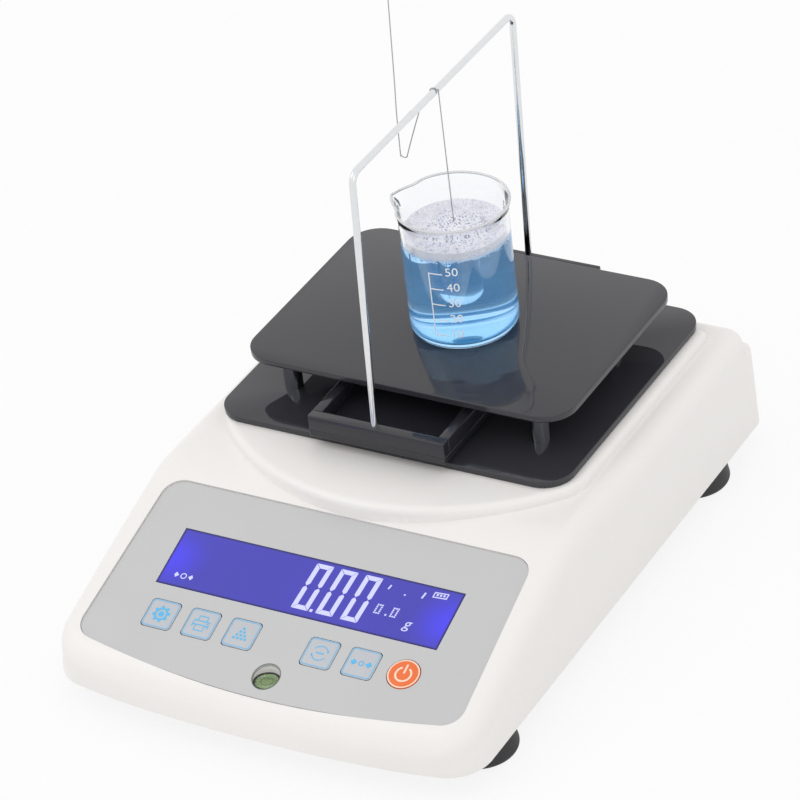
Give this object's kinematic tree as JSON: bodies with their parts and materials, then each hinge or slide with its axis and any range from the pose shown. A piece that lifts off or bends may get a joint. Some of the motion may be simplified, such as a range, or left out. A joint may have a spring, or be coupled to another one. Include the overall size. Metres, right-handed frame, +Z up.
{
  "type": "benchtop liquid density meter",
  "caption": "Benchtop liquid density meter: white balance housing with a blue display, black acrylic decks, steel gantry, hanging glass sinker and a 50 ml beaker.",
  "frame": {"origin": "table height, under the middle of the bounding box", "axes": "+X to the viewer's right, front with the keys faces -Y, +Z up"},
  "size_m": [0.198, 0.282, 0.2403],
  "materials": {
    "cover_white": "fine satin moulding",
    "base_grey": "satin moulding",
    "screw_steel": "zinc-plated",
    "overlay_grey": "satin film",
    "lcd_blue": "lit blue display behind a clear front",
    "backlight": "light guide",
    "frame_black": "moulded",
    "board_green": "solder-masked board",
    "switch_black": "moulded",
    "key_grey": "satin key with a pale blue outline",
    "key_orange": "orange key",
    "cup_black": "moulded",
    "level_glass": "clear disc",
    "level_fluid": "green level fluid",
    "foot_rubber": "moulded rubber",
    "stud_steel": "zinc-plated thread",
    "insert_brass": "turned",
    "block_alu": "milled",
    "cell_alu": "milled and anodised",
    "screw_black": "blackened",
    "spindle_steel": "turned",
    "capacitor_blue": "sleeved",
    "battery_grey": "moulded case",
    "strap_black": "moulded",
    "ribbon_grey": "flat cable",
    "jack_black": "moulded",
    "port_nickel": "nickel-plated shell",
    "deck_black": "polished black acrylic",
    "post_black": "polished black acrylic rod",
    "tray_black": "polished black acrylic",
    "rod_steel": "polished stainless rod",
    "wire_steel": "fine stainless wire",
    "sinker_glass": "blown glass",
    "beaker_glass": "borosilicate glass"
  },
  "bodies": {
    "housing": {"upper_cover": "cover_white", "base_tray": "base_grey", "cover_screws": "screw_steel", "panel_overlay": "overlay_grey", "lcd_glass": "lcd_blue", "lcd_backlight": "backlight", "lcd_frame": "frame_black", "display_board": "board_green", "display_screws": "screw_steel", "key_switches": "switch_black", "level_cup": "cup_black", "level_glass": "level_glass", "level_fluid": "level_fluid", "foot_inserts": "insert_brass", "cell_mount": "block_alu", "load_cell": "cell_alu", "cell_screws": "screw_black", "pan_arm": "block_alu", "pan_spindle": "spindle_steel", "overload_stop": "spindle_steel", "main_board": "board_green", "board_screws": "screw_steel", "processor": "switch_black", "capacitors": "capacitor_blue", "battery": "battery_grey", "battery_strap": "strap_black", "ribbon_cable": "ribbon_grey", "dc_jack": "jack_black", "serial_port": "port_nickel", "serial_posts": "port_nickel", "lower_deck": "deck_black", "standoffs": "post_black", "standoff_screws": "screw_steel", "top_platform": "deck_black"},
    "key_1_body": {"key_1": "key_grey"},
    "key_2_body": {"key_2": "key_grey"},
    "key_3_body": {"key_3": "key_grey"},
    "key_4_body": {"key_4": "key_grey"},
    "key_5_body": {"key_5": "key_grey"},
    "key_power_body": {"key_power": "key_orange"},
    "pad_front_left": {"foot_front_left": "foot_rubber"},
    "screw_front_left": {"stud_front_left": "stud_steel"},
    "pad_front_right": {"foot_front_right": "foot_rubber"},
    "screw_front_right": {"stud_front_right": "stud_steel"},
    "pad_rear_left": {"foot_rear_left": "foot_rubber"},
    "screw_rear_left": {"stud_rear_left": "stud_steel"},
    "pad_rear_right": {"foot_rear_right": "foot_rubber"},
    "screw_rear_right": {"stud_rear_right": "stud_steel"},
    "tray": {"tray_floor": "tray_black", "tray_side_bars": "tray_black", "tray_end_bars": "tray_black"},
    "gantry_frame": {"gantry": "rod_steel"},
    "sinker": {"sinker_wire": "wire_steel", "glass_sinker": "sinker_glass"},
    "beaker_glassware": {"beaker": "beaker_glass"}
  },
  "joints": [
    {"name": "key_1_press", "type": "slide", "parent": "housing", "child": "key_1_body", "axis": [0, 0.3147, -0.9492], "range_m": [0, 0.0004], "stiffness_N_per_m": 700},
    {"name": "key_2_press", "type": "slide", "parent": "housing", "child": "key_2_body", "axis": [0, 0.3147, -0.9492], "range_m": [0, 0.0004], "stiffness_N_per_m": 700},
    {"name": "key_3_press", "type": "slide", "parent": "housing", "child": "key_3_body", "axis": [0, 0.3147, -0.9492], "range_m": [0, 0.0004], "stiffness_N_per_m": 700},
    {"name": "key_4_press", "type": "slide", "parent": "housing", "child": "key_4_body", "axis": [0, 0.3147, -0.9492], "range_m": [0, 0.0004], "stiffness_N_per_m": 700},
    {"name": "key_5_press", "type": "slide", "parent": "housing", "child": "key_5_body", "axis": [0, 0.3147, -0.9492], "range_m": [0, 0.0004], "stiffness_N_per_m": 700},
    {"name": "key_power_press", "type": "slide", "parent": "housing", "child": "key_power_body", "axis": [0, 0.3147, -0.9492], "range_m": [0, 0.0004], "stiffness_N_per_m": 700},
    {"name": "level_front_left", "type": "slide", "parent": "housing", "child": "pad_front_left", "axis": [0, 0, -1], "range_m": [-0.0005, 0.003]},
    {"name": "turn_front_left", "type": "hinge", "parent": "pad_front_left", "child": "screw_front_left", "pos_m": [-0.083, -0.0985, 0.005], "axis": [0, 0, -1], "range_deg": [-160, 900]},
    {"name": "level_front_right", "type": "slide", "parent": "housing", "child": "pad_front_right", "axis": [0, 0, -1], "range_m": [-0.0005, 0.003]},
    {"name": "turn_front_right", "type": "hinge", "parent": "pad_front_right", "child": "screw_front_right", "pos_m": [0.083, -0.0985, 0.005], "axis": [0, 0, -1], "range_deg": [-160, 900]},
    {"name": "level_rear_left", "type": "slide", "parent": "housing", "child": "pad_rear_left", "axis": [0, 0, -1], "range_m": [-0.0005, 0.003]},
    {"name": "turn_rear_left", "type": "hinge", "parent": "pad_rear_left", "child": "screw_rear_left", "pos_m": [-0.083, 0.0985, 0.005], "axis": [0, 0, -1], "range_deg": [-160, 900]},
    {"name": "level_rear_right", "type": "slide", "parent": "housing", "child": "pad_rear_right", "axis": [0, 0, -1], "range_m": [-0.0005, 0.003]},
    {"name": "turn_rear_right", "type": "hinge", "parent": "pad_rear_right", "child": "screw_rear_right", "pos_m": [0.083, 0.0985, 0.005], "axis": [0, 0, -1], "range_deg": [-160, 900]},
    {"name": "tray_lift", "type": "slide", "parent": "housing", "child": "tray", "axis": [0, 0, 1], "range_m": [0, 0.004]},
    {"name": "gantry_lift", "type": "slide", "parent": "tray", "child": "gantry_frame", "axis": [0, 0.0663, 0.9978], "range_m": [0, 0.01]},
    {"name": "sinker_lift", "type": "slide", "parent": "gantry_frame", "child": "sinker", "axis": [0, 0, 1], "range_m": [0, 0.055]},
    {"name": "beaker_lift", "type": "slide", "parent": "housing", "child": "beaker_glassware", "axis": [0, 0, 1], "range_m": [0, 0.006]}
  ],
  "couplings": [
    {"joint": "turn_front_left", "follows": "level_front_left", "rad_per_m": 5026.5},
    {"joint": "turn_front_right", "follows": "level_front_right", "rad_per_m": 5026.5},
    {"joint": "turn_rear_left", "follows": "level_rear_left", "rad_per_m": 5026.5},
    {"joint": "turn_rear_right", "follows": "level_rear_right", "rad_per_m": 5026.5}
  ]
}
